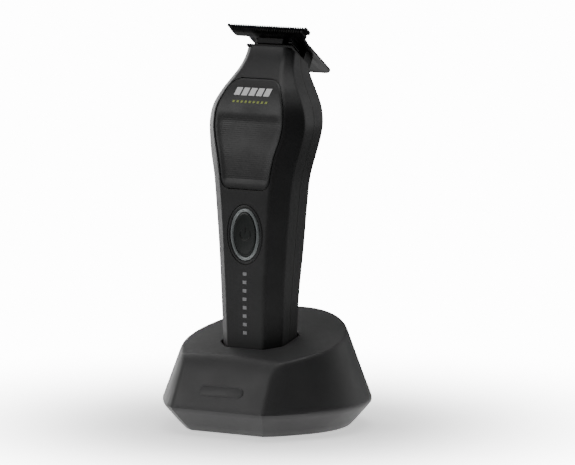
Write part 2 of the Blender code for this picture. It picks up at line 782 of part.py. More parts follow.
def build_dock_base(kit):
    angles = dock_angles()
    low, high = DOCK_EDGE_Z, DOCK_EDGE_Z + BASE_THICK
    outline = [dock_point(a, dock_outline_radius(a) * FOOT_SHARE - BASE_INSET) for a in angles]
    base = kit.piece("dock_base", plate_mesh("dock_base", outline, low, high), "inner_plastic")
    for index, (x, y) in enumerate(screw_places()):
        name = f"dock_screw_{index + 1}"
        frame = offset_frame(x, y, 0)
        kit.cut(base, name + "_hole", rod_mesh("hole", 1.4, -2, 8, 16), frame)
        kit.cut(base, name + "_seat", rod_mesh("seat", 2.6, -2, low + 1.1, 20), frame)
        screw = kit.piece(name, rod_mesh("head", 2.2, low + 0.1, low + 0.9, 16), "steel", frame)
        kit.join(screw, name + "_shank", rod_mesh("shank", 1.0, low + 0.5, 11.0, 12), frame)
    for index, (x, y) in enumerate(pad_places()):
        frame = offset_frame(x, y, 0)
        seat = rod_mesh("seat", FOOT_PAD_RADIUS + GAP, -2, low + 0.6, 24)
        kit.cut(base, f"pad_seat_{index + 1}", seat, frame)
        pad = rod_mesh("pad", FOOT_PAD_RADIUS, 0.0, low + 0.3, 24)
        kit.piece(f"dock_foot_{index + 1}", pad, "rubber", frame)
    weight = rod_mesh("dock_weight", 23.0, high + GAP, BOARD_Z - GAP, 40)
    kit.piece("dock_weight", weight, "steel")


def pad_places():
    turns = [math.radians(d) for d in (0, 90, 180, 270)]
    return [(FOOT_PAD_RING * math.sin(t), -FOOT_PAD_RING * math.cos(t)) for t in turns]


def build_dock_electrics(kit):
    board_top = BOARD_Z + 1.2
    board = box_mesh("dock_board", (-11.5, -14.0, BOARD_Z), (11.5, 41.0, board_top))
    kit.piece("dock_board", board, "board_green")
    width, depth, height = INLET_SIZE
    face = DOCK_RADIUS - 1.6
    low = board_top + GAP
    inlet = box_mesh("dock_inlet", (-width / 2, face - depth, low), (width / 2, face, low + height))
    inlet = kit.piece("dock_inlet", inlet, "steel")
    half, top = width / 2 - 0.6, low + height - 0.6
    mouth = box_mesh("inlet_mouth", (-half, face - 5.5, low + 0.6), (half, face + 4, top))
    kit.cut(inlet, "inlet_mouth", mouth)
    y = foot_y()
    top = HANDLE_FOOT - 2 * GAP
    block = box_mesh("contact_block", (-10.5, y - 3.0, low), (10.5, y + 3.0, top))
    block = kit.piece("contact_block", block, "inner_plastic")
    pin_low = low + PIN_TRAVEL + 0.7
    for side, word in ((-1, "left"), (1, "right")):
        frame = offset_frame(side * CONTACT_X, y, 0)
        kit.cut(block, "pin_bore_" + word, rod_mesh("bore", 1.2, low + 0.5, top + 4, 20), frame)
        pin = rod_mesh("contact_pin", 0.9, pin_low, HANDLE_FOOT - 0.2, 16)
        kit.piece("contact_pin_" + word, pin, "brass", frame)


def main():
    clear_scene()
    kit = Builder()
    build_shells(kit)
    build_front_trim(kit)
    build_end_cap(kit)
    build_handle_contacts(kit)
    build_chassis(kit)
    build_motor(kit)
    build_case_screws(kit, bpy.data.objects["rear_shell"])
    build_blades(kit)
    build_dock_shell(kit)
    build_cup(kit)
    build_dock_base(kit)
    build_dock_electrics(kit)


main()
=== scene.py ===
"""Looks of the hair clipper in its charging dock, laid out as a Blender add-on and run as a script."""

import json
import math

import bmesh
import bpy
from mathutils import Matrix, Vector

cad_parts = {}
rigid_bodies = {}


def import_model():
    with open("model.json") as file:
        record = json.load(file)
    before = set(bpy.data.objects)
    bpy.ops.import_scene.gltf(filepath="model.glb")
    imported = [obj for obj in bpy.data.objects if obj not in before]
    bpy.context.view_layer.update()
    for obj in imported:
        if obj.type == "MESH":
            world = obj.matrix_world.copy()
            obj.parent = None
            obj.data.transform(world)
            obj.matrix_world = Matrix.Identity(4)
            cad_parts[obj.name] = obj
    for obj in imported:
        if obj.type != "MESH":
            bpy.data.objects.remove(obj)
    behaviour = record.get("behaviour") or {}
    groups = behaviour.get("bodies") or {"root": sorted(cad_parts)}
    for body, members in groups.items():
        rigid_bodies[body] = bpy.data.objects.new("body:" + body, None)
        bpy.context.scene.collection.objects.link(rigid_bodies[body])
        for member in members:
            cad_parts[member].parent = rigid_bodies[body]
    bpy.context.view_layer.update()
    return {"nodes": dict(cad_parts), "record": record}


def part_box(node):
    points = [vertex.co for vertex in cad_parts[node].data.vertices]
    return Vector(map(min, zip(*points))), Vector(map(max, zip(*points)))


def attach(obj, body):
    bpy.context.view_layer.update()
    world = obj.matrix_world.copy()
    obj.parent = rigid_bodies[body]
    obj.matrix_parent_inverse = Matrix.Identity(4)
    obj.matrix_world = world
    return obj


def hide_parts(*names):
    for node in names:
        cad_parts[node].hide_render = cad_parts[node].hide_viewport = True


bl_info = {
    "name": "Hair clipper and dock",
    "version": (1, 0, 0),
    "blender": (4, 5, 0),
    "location": "View3D > Sidebar > Clipper",
    "description": "Builds the finished surfaces of a cordless hair clipper in its dock",
    "category": "Object",
}

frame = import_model()

MM = 0.001
GAP = 0.3

# z, half width, half flat width, front y, back y, half depth of the side flats, in millimetres
HANDLE_STATIONS = (
    (17.0, 14.3, 8.6, -19.0, 6.0, 6.4),
    (57.0, 15.8, 9.4, -20.1, 7.4, 7.2),
    (80.0, 17.1, 10.6, -19.9, 9.5, 8.2),
    (100.0, 18.7, 11.8, -19.9, 10.2, 8.4),
    (112.0, 20.0, 13.0, -19.8, 10.9, 8.4),
    (122.0, 22.3, 14.8, -19.0, 12.6, 8.4),
    (130.0, 23.8, 17.0, -17.6, 14.2, 8.4),
    (136.0, 24.2, 17.8, -16.7, 15.0, 8.4),
    (143.0, 22.8, 17.2, -15.4, 15.4, 8.4),
    (150.0, 19.1, 14.5, -12.4, 15.9, 8.0),
    (154.5, 16.2, 12.2, -9.2, 16.4, 7.6),
    (159.0, 13.8, 10.2, -5.4, 16.9, 6.8),
    (164.0, 12.4, 8.8, -1.6, 17.4, 6.0),
    (169.0, 12.0, 8.2, 0.8, 17.8, 5.6),
    (176.0, 12.0, 8.2, 2.4, 18.0, 5.4),
)
SHELL_WALL = 2.0
SHELL_FOOT = 20.5
SHELL_STEP = 1.5
PART_GAP = 0.08
EDGE_ROUND = 2.6
ARC_STEPS = 5
MOST_ARC_SHARE = 0.45
EDGE_STEPS = 6

PANEL_FOOT = 107.3
PANEL_TOP = 155.0
PANEL_MARGIN = 0.7
PANEL_CORNER = 3.6
PANEL_THICK = 1.2
GROOVE = 0.35
FIELD_FOOT = 109.5
FIELD_TOP = 141.0
FIELD_DEPTH = 0.45
FIELD_MARGIN = 0.5
FIELD_SIDE_SLOPE = 2.2
FIELD_FOOT_SLOPE = 2.5
FIELD_TOP_SLOPE = 5.0
PANEL_COLUMNS = 28
PANEL_ROLL = 0.35
PANEL_SET_BACK = 0.05
PANEL_SHOULDER = 0.17
RIB_PITCH = 0.9
RIB_DEPTH = 0.05

PRINT_PROUD = 0.03
PRINT_SUNK = 0.3

BUTTON_Z = 87.2
CAP_HALF = (5.5, 9.8)
LIGHT_RING_WIDTH = 1.5
BEZEL_WIDTH = 1.2
# Share of the cap's size and height of its surface, from the back edge in to the dished middle
CAP_PROFILE = (
    (1.0, -1.4), (1.0, -0.05), (0.975, 0.1), (0.93, 0.18),
    (0.86, 0.12), (0.72, -0.02), (0.45, -0.12), (0.12, -0.15),
)
SIGN_RADIUS = 2.6
SIGN_OPENING = 76.0
SIGN_STROKE = (0.6, 3.3)
SIGN_THICK = 0.3

CASE_SCREW_PLACE = (12.0, 12.9, 124.0)
CASE_SCREW_RECESS = 2.6
CASE_SCREW_DEPTH = 1.2

# Blades, in a frame that starts at the middle of the teeth and runs back along the blade
BLADE_TIP = (0.0, -0.3, 178.0)
BLADE_TILT = math.radians(33.0)
NECK_FACE_N = -7.5
COMB_SEAT_DEPTH = 14.0
STEM_STEP = 0.4
BLADE_HALF_WIDTH = 20.0
BLADE_THICK = 1.2
BAR_DEPTH = 5.5
STEM_HALF_WIDTH = 14.0
BLADE_LENGTH = 42.0
STEM_CORNER = 4.2
STEM_FILLET = 4.0
CUTTER_HALF_WIDTH = 18.2
CUTTER_SETBACK = 0.5
CUTTER_THICK = 1.3
CUTTER_BAR_DEPTH = 6.5
CUTTER_STEM_HALF_WIDTH = 9.0
CUTTER_LENGTH = 17.0
CUTTER_CORNER = 2.0
TOOTH_DEPTH = 2.2
TOOTH_SLOT_SHARE = 0.44
GROOVE_HALF_WIDTH = 0.16
GROOVE_LENGTH = 5.6
GROOVE_DEPTH = 0.25
BLADE_SCREW_X = 8.0
BLADE_SCREW_BACK = 22.5
BLADE_SCREW_HOLE = 1.8
# Radius and height of the screw's outline, from its tip to the middle of its head
BLADE_SCREW_PROFILE = (
    (1.5, -0.7), (1.5, 0.3), (3.0, 0.3), (3.0, 0.85), (2.75, 1.2), (2.2, 1.4), (1.0, 1.5),
)
CROSS_HALF_LENGTH = 1.7
CROSS_HALF_WIDTH = 0.28

DOCK_RADIUS = 46.8
DOCK_FRONT = 44.8
FRONT_HALF_WIDTH = 23.1
CORNER_POINT = (27.7, 41.3)
BLEND_ANGLE = math.radians(60.0)
CREASE_Z = 11.5
FOOT_SHARE = 0.8
DOCK_EDGE_Z = 0.8
WALL_LEAN = 0.36
FRONT_SLOPE = 1.895
BAND_SLOPE_X = 1.394
BAND_SLOPE_Y = 1.832
ROOF_HEIGHT = 41.4
ROOF_SLOPE = 0.22
ROOF_CROWN = 0.0015
DOCK_WALL = 2.4
SOCKET_GAP = 0.8
SOCKET_Z = 40.0
FRONT_EDGE_SOFTNESS = 6.0
BAND_EDGE_SOFTNESS = 1.6
WALL_EDGE_SOFTNESS = 2.2
DOCK_ANGLES = 288
TOP_ROWS = 56
DOCK_MARK_Z = 20.0
DOCK_MARK_HALF_SIZE = (11.0, 2.3)

# Stage, in metres
FLOOR_RADIUS = 0.7
FLOOR_FADE = (0.045, 0.24)
OBJECT_MIDDLE = (0.0, 0.0, 0.09)
CAMERA_AZIMUTH = 30.0
CAMERA_DISTANCE = 2.3
CAMERA_HEIGHT = 0.39
CAMERA_AIM = (0.0, 0.0, 0.087)


# ---------------------------------------------------------------- settings shown to a user


class ClipperFinish(bpy.types.PropertyGroup):
    """Colours and textures of the clipper and its dock."""

    casing_colour: bpy.props.FloatVectorProperty(
        name="Casing", description="Soft-touch plastic of the handle and dock", subtype="COLOR", size=4,
        min=0, max=1, default=(0.024, 0.024, 0.0245, 1),
    )
    blade_colour: bpy.props.FloatVectorProperty(
        name="Blade coating", description="Dark coating of both blades", subtype="COLOR", size=4,
        min=0, max=1, default=(0.008, 0.008, 0.009, 1),
    )
    ring_colour: bpy.props.FloatVectorProperty(
        name="Light ring", description="Grey ring round the power button", subtype="COLOR", size=4,
        min=0, max=1, default=(0.24, 0.26, 0.26, 1),
    )
    bar_colour: bpy.props.FloatVectorProperty(
        name="White bars", description="Printed bars on the grip panel", subtype="COLOR", size=4,
        min=0, max=1, default=(0.85, 0.85, 0.85, 1),
    )
    dash_colour: bpy.props.FloatVectorProperty(
        name="Green dashes", description="Printed dashes under the white bars", subtype="COLOR", size=4,
        min=0, max=1, default=(0.30, 0.36, 0.04, 1),
    )
    mark_colour: bpy.props.FloatVectorProperty(
        name="Grey marks", description="Printed column of marks on the handle", subtype="COLOR", size=4,
        min=0, max=1, default=(0.30, 0.30, 0.31, 1),
    )


class ClipperDetail(bpy.types.PropertyGroup):
    """Sizes of the fine detail."""

    grain: bpy.props.FloatProperty(
        name="Casing grain", description="Size of the casing's fine spark texture", subtype="DISTANCE",
        unit="LENGTH", min=0.00005, max=0.002, default=0.00025,
    )
    blade_edge: bpy.props.FloatProperty(
        name="Blade edge", description="Width of the bevel on the blades' edges", subtype="DISTANCE",
        unit="LENGTH", min=0, max=0.0004, default=0.00012,
    )
    tooth_pitch: bpy.props.FloatProperty(
        name="Tooth pitch", description="Distance from one blade tooth to the next", subtype="DISTANCE",
        unit="LENGTH", min=0.0006, max=0.003, default=0.0012,
    )


def finish():
    return bpy.context.scene.clipper_finish


def detail():
    return bpy.context.scene.clipper_detail


# ---------------------------------------------------------------- materials


def principled(name, colour, roughness, metallic=0.0, **values):
    """A new material and its Principled shader, with values set on the shader's own sockets."""
    material = bpy.data.materials.new(name)
    material.use_nodes = True
    shader = material.node_tree.nodes["Principled BSDF"]
    shader.inputs["Base Color"].default_value = colour
    shader.inputs["Roughness"].default_value = roughness
    shader.inputs["Metallic"].default_value = metallic
    for socket, value in values.items():
        shader.inputs[socket.replace("_", " ")].default_value = value
    return material


def add_node(material, kind, **settings):
    node = material.node_tree.nodes.new(kind)
    for key, value in settings.items():
        setattr(node, key, value)
    return node


def noise(material, scale, detail_level=3.0, stretch=(1, 1, 1)):
    """Noise over the object's own space, with features about 1 / scale metres across."""
    links = material.node_tree.links
    coords = add_node(material, "ShaderNodeTexCoord")
    mapping = add_node(material, "ShaderNodeMapping")
    mapping.inputs["Scale"].default_value = stretch
    texture = add_node(material, "ShaderNodeTexNoise")
    texture.inputs["Scale"].default_value = scale
    texture.inputs["Detail"].default_value = detail_level
    links.new(coords.outputs["Object"], mapping.inputs["Vector"])
    links.new(mapping.outputs["Vector"], texture.inputs["Vector"])
    return texture


def vary_socket(material, texture, socket, low, high):
    """Drives a shader socket from a texture, between two values."""
    spread = add_node(material, "ShaderNodeMapRange")
    spread.inputs["From Min"].default_value = 0.3
    spread.inputs["From Max"].default_value = 0.7
    spread.inputs["To Min"].default_value = low
    spread.inputs["To Max"].default_value = high
    links = material.node_tree.links
    links.new(texture.outputs["Fac"], spread.inputs["Value"])
    links.new(spread.outputs["Result"], material.node_tree.nodes["Principled BSDF"].inputs[socket])


def vary_colour(material, texture, low, high):
    ramp = add_node(material, "ShaderNodeValToRGB")
    ramp.color_ramp.elements[0].position = 0.3
    ramp.color_ramp.elements[0].color = low
    ramp.color_ramp.elements[1].position = 0.7
    ramp.color_ramp.elements[1].color = high
    links = material.node_tree.links
    links.new(texture.outputs["Fac"], ramp.inputs["Fac"])
    links.new(ramp.outputs["Color"], material.node_tree.nodes["Principled BSDF"].inputs["Base Color"])


def bump(material, texture, strength, distance):
    node = add_node(material, "ShaderNodeBump")
    node.inputs["Strength"].default_value = strength
    node.inputs["Distance"].default_value = distance
    links = material.node_tree.links
    links.new(texture.outputs["Fac"], node.inputs["Height"])
    links.new(node.outputs["Normal"], material.node_tree.nodes["Principled BSDF"].inputs["Normal"])


def shade(colour, share):
    return (colour[0] * share, colour[1] * share, colour[2] * share, 1.0)


def soft_touch_plastic(name, colour, roughness):
    """Soft-touch plastic: fine spark grain, slow change of sheen where hands have polished it."""
    sheen = {"Sheen_Weight": 0.04, "Sheen_Roughness": 0.5}
    material = principled(name, colour, roughness, Specular_IOR_Level=0.42, **sheen)
    vary_colour(material, noise(material, 60.0, 4.0), shade(colour, 0.88), shade(colour, 1.12))
    vary_socket(material, noise(material, 90.0, 5.0), "Roughness", roughness - 0.04, roughness + 0.05)
    bump(material, noise(material, 1 / detail().grain, 2.0), 0.12, 0.00003)
    return material


def moulded_plastic(name, colour, roughness):
    """Inner mouldings: coarser grain, duller."""
    material = principled(name, colour, roughness)
    vary_colour(material, noise(material, 200.0, 4.0), shade(colour, 0.8), shade(colour, 1.15))
    bump(material, noise(material, 2500.0, 2.0), 0.2, 0.00005)
    return material


def coated_steel(name, colour, roughness):
    """Dark coated blade steel with faint grinding marks along the blade."""
    material = principled(name, colour, roughness, 0.35, Specular_IOR_Level=0.5)
    grind = noise(material, 900.0, 3.0, (1.0, 0.06, 0.06))
    vary_socket(material, grind, "Roughness", roughness - 0.08, roughness + 0.1)
    vary_colour(material, noise(material, 150.0, 5.0), shade(colour, 0.8), shade(colour, 1.3))
    bump(material, grind, 0.1, 0.00002)
    return material


def bright_metal(name, colour, roughness):
    """Bare metal with drawn marks and a little tarnish."""
    material = principled(name, colour, roughness, 1.0)
    drawn = noise(material, 1500.0, 3.0, (1.0, 1.0, 0.05))
    vary_socket(material, drawn, "Roughness", roughness - 0.08, roughness + 0.12)
    vary_colour(material, noise(material, 250.0, 4.0), shade(colour, 0.85), colour)
    return material


def printed_ink(name, colour):
    material = principled(name, colour, 0.42)
    vary_colour(material, noise(material, 1200.0, 3.0), shade(colour, 0.93), colour)
    bump(material, noise(material, 3000.0, 2.0), 0.1, 0.00002)
    return material


def pad_rubber(name):
    colour = (0.012, 0.012, 0.012, 1)
    material = principled(name, colour, 0.85)
    vary_colour(material, noise(material, 300.0, 4.0), shade(colour, 0.7), shade(colour, 1.4))
    bump(material, noise(material, 1800.0, 3.0), 0.3, 0.00006)
    return material


def satin_ring(name, colour):
    material = principled(name, colour, 0.34, 0.3, Coat_Weight=0.3, Coat_Roughness=0.2)
    vary_socket(material, noise(material, 700.0, 3.0), "Roughness", 0.3, 0.4)
    vary_colour(material, noise(material, 400.0, 3.0), shade(colour, 0.92), shade(colour, 1.06))
    return material


def make_finishes():
    look = finish()
    casing = tuple(look.casing_colour)
    return {
        "casing": soft_touch_plastic("soft_touch_casing", casing, 0.46),
        "dock_casing": soft_touch_plastic("soft_touch_dock", casing, 0.48),
        "panel": soft_touch_plastic("grip_panel_plastic", shade(casing, 0.92), 0.44),
        "button": soft_touch_plastic("button_plastic", (0.013, 0.016, 0.015, 1), 0.4),
        "light_ring": satin_ring("ring_satin", tuple(look.ring_colour)),
        "blade": coated_steel("blade_coating", tuple(look.blade_colour), 0.34),
        "screw_black": coated_steel("black_oxide", (0.02, 0.02, 0.02, 1), 0.38),
        "steel_parts": bright_metal("plain_steel", (0.16, 0.16, 0.165, 1), 0.42),
        "contact_metal": bright_metal("contact_brass", (0.8, 0.62, 0.3, 1), 0.25),
        "inner_plastic": moulded_plastic("inner_moulding", (0.014, 0.014, 0.015, 1), 0.55),
        "board": moulded_plastic("solder_mask", (0.02, 0.13, 0.05, 1), 0.35),
        "cell_wrap": moulded_plastic("cell_sleeve", (0.04, 0.14, 0.32, 1), 0.35),
        "rubber_pad": pad_rubber("pad_rubber"),
        "white_ink": printed_ink("white_ink", tuple(look.bar_colour)),
        "green_ink": printed_ink("green_ink", tuple(look.dash_colour)),
        "grey_ink": printed_ink("grey_ink", tuple(look.mark_colour)),
    }


FINISHES = {}


def finish_for(slot):
    if not FINISHES:
        FINISHES.update(make_finishes())
    return FINISHES[slot]


# ---------------------------------------------------------------- mesh helpers


def add_piece(name, mesh, look, body, angle=30.0):
    """A finished piece in the scene, riding on a body and shaded smooth up to an angle."""
    obj = bpy.data.objects.new(name, mesh)
    bpy.context.scene.collection.objects.link(obj)
    mesh.materials.append(finish_for(look))
    mesh.shade_smooth()
    mesh.set_sharp_from_angle(angle=math.radians(angle))
    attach(obj, body)
    return obj


def loft_mesh(name, rings, looped=False):
    """A closed solid through rings of millimetre points, all with the same count."""
    bm = bmesh.new()
    loops = [[bm.verts.new(Vector(point) * MM) for point in ring] for ring in rings]
    pairs = list(zip(loops, loops[1:]))
    if looped:
        pairs.append((loops[-1], loops[0]))
    else:
        bm.faces.new(loops[0])
        bm.faces.new(loops[-1])
    for low, high in pairs:
        count = len(low)
        for i in range(count):
            j = (i + 1) % count
            bm.faces.new((low[i], low[j], high[j], high[i]))
    bmesh.ops.recalc_face_normals(bm, faces=bm.faces)
    mesh = bpy.data.meshes.new(name)
    bm.to_mesh(mesh)
    bm.free()
    return mesh


def cut_mesh(mesh, cutters):
    """The mesh with closed cutter meshes taken out of it."""
    helpers = []
    target = bpy.data.objects.new("cut_target", mesh)
    bpy.context.scene.collection.objects.link(target)
    for cutter in cutters:
        helper = bpy.data.objects.new("cutter", cutter)
        bpy.context.scene.collection.objects.link(helper)
        helpers.append(helper)
        modifier = target.modifiers.new("cut", "BOOLEAN")
        modifier.operation = "DIFFERENCE"
        modifier.solver = "EXACT"
        modifier.object = helper
    bpy.context.view_layer.update()
    graph = bpy.context.evaluated_depsgraph_get()
    result = bpy.data.meshes.new_from_object(target.evaluated_get(graph))
    for helper in helpers + [target]:
        bpy.data.objects.remove(helper)
    return result


def bevelled(mesh, width, segments=2, angle=35.0):
    """The mesh with its sharp edges rounded."""
    target = bpy.data.objects.new("bevel_target", mesh)
    bpy.context.scene.collection.objects.link(target)
    modifier = target.modifiers.new("round", "BEVEL")
    modifier.width = width
    modifier.segments = segments
    modifier.limit_method = "ANGLE"
    modifier.angle_limit = math.radians(angle)
    modifier.use_clamp_overlap = True
    bpy.context.view_layer.update()
    graph = bpy.context.evaluated_depsgraph_get()
    result = bpy.data.meshes.new_from_object(target.evaluated_get(graph))
    bpy.data.objects.remove(target)
    return result


def box_mesh(low, high, matrix=None):
    corners = ((low[0], low[1]), (high[0], low[1]), (high[0], high[1]), (low[0], high[1]))
    mesh = loft_mesh("box", [[(x, y, z) for x, y in corners] for z in (low[2], high[2])])
    if matrix is not None:
        mesh.transform(matrix)
    return mesh


def plate_mesh(outline, low, high, matrix):
    mesh = loft_mesh("plate", [[(x, y, z) for x, y in outline] for z in (low, high)])
    mesh.transform(matrix)
    return mesh


def oval(half_width, half_height, count=72):
    turn = 2 * math.pi / count
    return [(half_width * math.cos(i * turn), half_height * math.sin(i * turn)) for i in range(count)]


def place_at(x, y, z, turn=None):
    matrix = Matrix.Translation(Vector((x, y, z)) * MM)
    return matrix if turn is None else matrix @ turn


def blade_matrix():
    return place_at(*BLADE_TIP, Matrix.Rotation(-BLADE_TILT, 4, "X"))


# ---------------------------------------------------------------- handle surface


def station_at(z):
    """The handle's section values at height z, on a smooth curve through the stations."""
    rows = HANDLE_STATIONS
    index = 0
    while index < len(rows) - 2 and z > rows[index + 1][0]:
        index += 1
    before, low = rows[max(index - 1, 0)], rows[index]
    high, after = rows[index + 1], rows[min(index + 2, len(rows) - 1)]
    span = high[0] - low[0]
    t = min(max((z - low[0]) / span, 0.0), 1.0)
    values = [z]
    for k in range(1, 6):
        start = (high[k] - before[k]) / (high[0] - before[0]) * span
        end = (after[k] - low[k]) / (after[0] - low[0]) * span
        values.append(
            (2 * t**3 - 3 * t**2 + 1) * low[k] + (t**3 - 2 * t**2 + t) * start
            + (3 * t**2 - 2 * t**3) * high[k] + (t**3 - t**2) * end
        )
    return values


def arc_corner(before, corner, after, radius):
    """Points of a rounded corner, from one side to the other."""
    corner = Vector(corner)
    into, out = Vector(before) - corner, Vector(after) - corner
    longest = MOST_ARC_SHARE * min(into.length, out.length)
    reach = min(radius / math.tan(into.angle(out) / 2), longest)
    start, end = corner + into.normalized() * reach, corner + out.normalized() * reach
    points = []
    for i in range(ARC_STEPS + 1):
        t = i / ARC_STEPS
        points.append(start * (1 - t) ** 2 + corner * 2 * t * (1 - t) + end * t**2)
    return points


def half_outline(z, front_half):
    """The outside of one casing half at height z, from +X to -X, as Vectors."""
    _, half, flat, front, back, side = station_at(z)
    middle = (front + back) / 2
    face = front if front_half else back
    shift = -side if front_half else side
    split = middle + (-PART_GAP if front_half else PART_GAP)
    right = [(half, split), (half, middle + shift), (flat, face)]
    path = right + [(-x, y) for x, y in reversed(right)]
    points = [Vector(path[0])]
    for i in range(1, 5):
        corner = arc_corner(path[i - 1], path[i], path[i + 1], EDGE_ROUND)
        last = points[-1]
        for step in range(1, EDGE_STEPS):
            points.append(last.lerp(corner[0], step / EDGE_STEPS))
        points += corner
    points.append(Vector(path[5]))
    return points


def inner_outline(points):
    """The same path moved inwards by the wall."""
    moved = []
    middle = sum(points, Vector((0, 0))) / len(points)
    for i, point in enumerate(points):
        before, after = points[max(i - 1, 0)], points[min(i + 1, len(points) - 1)]
        along = (after - before).normalized()
        normal = Vector((-along.y, along.x))
        if normal.dot(middle - point) < 0:
            normal = -normal
        moved.append(point + normal * SHELL_WALL)
    moved[0].y, moved[-1].y = points[0].y, points[-1].y
    return moved


def half_ring(z, front_half):
    """One casing half's wall at height z, outside and inside."""
    outside = half_outline(z, front_half)
    inside = inner_outline(outside)
    return [(p.x, p.y, z) for p in outside + inside[::-1]]


def panel_half_width(z, grow=0.0):
    """Half width of the grip panel at height z, with its rounded corners."""
    width = station_at(z)[2] - PANEL_MARGIN
    end = min(z - PANEL_FOOT, PANEL_TOP - z)
    if end >= PANEL_CORNER:
        return width + grow
    arc = math.sqrt(max(0.0, PANEL_CORNER**2 - (PANEL_CORNER - end) ** 2))
    return width - PANEL_CORNER + arc + grow


def panel_heights():
    """Heights for the panel, closer together in its rounded ends."""
    ends = [PANEL_CORNER * (1 - math.cos(math.radians(a))) for a in range(0, 91, 15)]
    straight = PANEL_TOP - PANEL_FOOT - 2 * PANEL_CORNER
    count = int(straight / (RIB_PITCH / 4))
    step = straight / count
    middle = [PANEL_FOOT + PANEL_CORNER + i * step for i in range(1, count)]
    return [PANEL_FOOT + e for e in ends] + middle + [PANEL_TOP - e for e in reversed(ends)]


def panel_recess_mesh():
    """The cutter for the panel's recess, a groove wider than the panel all round."""
    rings = []
    heights = panel_heights()
    for i, z in enumerate(heights):
        x = panel_half_width(z, GROOVE)
        near, far = front_y(z) - 4, front_y(z) + PANEL_THICK + GAP
        level = z - GROOVE if i == 0 else z + GROOVE if i == len(heights) - 1 else z
        rings.append([(-x, near, level), (x, near, level), (x, far, level), (-x, far, level)])
    return loft_mesh("recess", rings)


def shell_heights():
    height = HANDLE_STATIONS[-1][0] - SHELL_FOOT
    count = int(height / SHELL_STEP)
    return [SHELL_FOOT + i * height / count for i in range(count + 1)]


def front_y(z):
    """The handle's front surface at height z, without the panel's sunk field."""
    return station_at(z)[3]


def button_matrix():
    """A frame on the front surface at the button, with z pointing out."""
    return place_at(0, front_y(BUTTON_Z), BUTTON_Z, Matrix.Rotation(math.radians(90), 4, "X"))


def smooth_step(value):
    value = min(max(value, 0.0), 1.0)
    return value * value * (3 - 2 * value)


def sunk(x, z):
    """Depth of the panel's sunk field at (x, z), with fine ribs across it."""
    across = smooth_step((panel_half_width(z) - abs(x) - FIELD_MARGIN) / FIELD_SIDE_SLOPE)
    foot = smooth_step((z - FIELD_FOOT) / FIELD_FOOT_SLOPE)
    up = foot * smooth_step((FIELD_TOP - z) / FIELD_TOP_SLOPE)
    ribs = RIB_DEPTH * (0.5 - 0.5 * math.cos(2 * math.pi * (z - FIELD_FOOT) / RIB_PITCH))
    return across * up * (FIELD_DEPTH + ribs)


def panel_mesh():
    """The grip panel: a front grid with the sunk field, rolled edges and a plain back."""
    rings = []
    for z in panel_heights():
        width = panel_half_width(z)
        base = front_y(z)
        end = min(z - PANEL_FOOT, PANEL_TOP - z, PANEL_ROLL)
        roll_end = PANEL_ROLL * (1 - math.sqrt(max(0.0, 1 - (1 - end / PANEL_ROLL) ** 2)))
        side = base + PANEL_SET_BACK + PANEL_ROLL
        shoulder = base + PANEL_SHOULDER
        ring = [(-width, side, z), (-width + 0.1, shoulder, z)]
        for i in range(PANEL_COLUMNS + 1):
            x = (width - PANEL_ROLL) * (2 * i / PANEL_COLUMNS - 1)
            ring.append((x, base + PANEL_SET_BACK + roll_end + sunk(x, z), z))
        ring += [(width - 0.1, shoulder, z), (width, side, z)]
        ring += [(width, base + PANEL_THICK, z), (-width, base + PANEL_THICK, z)]
        rings.append(ring)
    return loft_mesh("grip_panel_skin", rings)


def casing_cutters(front_half):
    """The neck's slanted end, with the panel and button recesses or the screws' recesses."""
    cutters = [box_mesh((-40, -60, NECK_FACE_N), (40, 80, 60), blade_matrix())]
    if front_half:
        hole = plate_mesh(oval(*BUTTON_HOLE), -4, 4, button_matrix())
        return cutters + [panel_recess_mesh(), hole]
    back = Matrix.Rotation(math.radians(-90), 4, "X")
    x, y, z = CASE_SCREW_PLACE
    recess = oval(CASE_SCREW_RECESS, CASE_SCREW_RECESS, 32)
    for side in (-1, 1):
        place = place_at(side * x, y, z, back)
        cutters.append(plate_mesh(recess, -CASE_SCREW_DEPTH, 5.0, place))
    return cutters


def build_casing():
    for name, front_half in (("front_shell", True), ("rear_shell", False)):
        rings = [half_ring(z, front_half) for z in shell_heights()]
        mesh = cut_mesh(loft_mesh(name + "_skin", rings), casing_cutters(front_half))
        piece = add_piece(name + "_skin", mesh, "casing", "trimmer", 28)
        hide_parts(name)


def build_panel():
    piece = add_piece("grip_panel_skin", panel_mesh(), "panel", "trimmer", 40)
    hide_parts("grip_panel")


# ---------------------------------------------------------------- power button


def grown(half, amount):
    return (half[0] + amount, half[1] + amount)


RING_INNER = grown(CAP_HALF, GAP)
RING_OUTER = grown(RING_INNER, LIGHT_RING_WIDTH)
BEZEL_INNER = grown(RING_OUTER, GAP)
BEZEL_OUTER = grown(BEZEL_INNER, BEZEL_WIDTH)
BUTTON_HOLE = grown(BEZEL_OUTER, GAP)


def ring_mesh(name, outer, inner, front, back, crown):
    """An oval ring with a rounded front; crown is how far the middle stands above its edges."""
    steps = 7
    rows = []
    for i in range(steps + 1):
        t = i / steps
        half = (outer[0] + (inner[0] - outer[0]) * t, outer[1] + (inner[1] - outer[1]) * t)
        rows.append((half, front - crown * (2 * t - 1) ** 2))
    rows += [(inner, back), (outer, back)]
    rings = [[(x, y, z) for x, y in oval(*half)] for half, z in rows]
    mesh = loft_mesh(name, rings, looped=True)
    mesh.transform(button_matrix())
    return mesh


def button_cap_mesh():
    """The oval cap, dished in the middle."""
    rings = [[(x * s, y * s, z) for x, y in oval(*CAP_HALF)] for s, z in CAP_PROFILE]
    mesh = loft_mesh("power_button_cap", rings)
    mesh.transform(button_matrix())
    return mesh


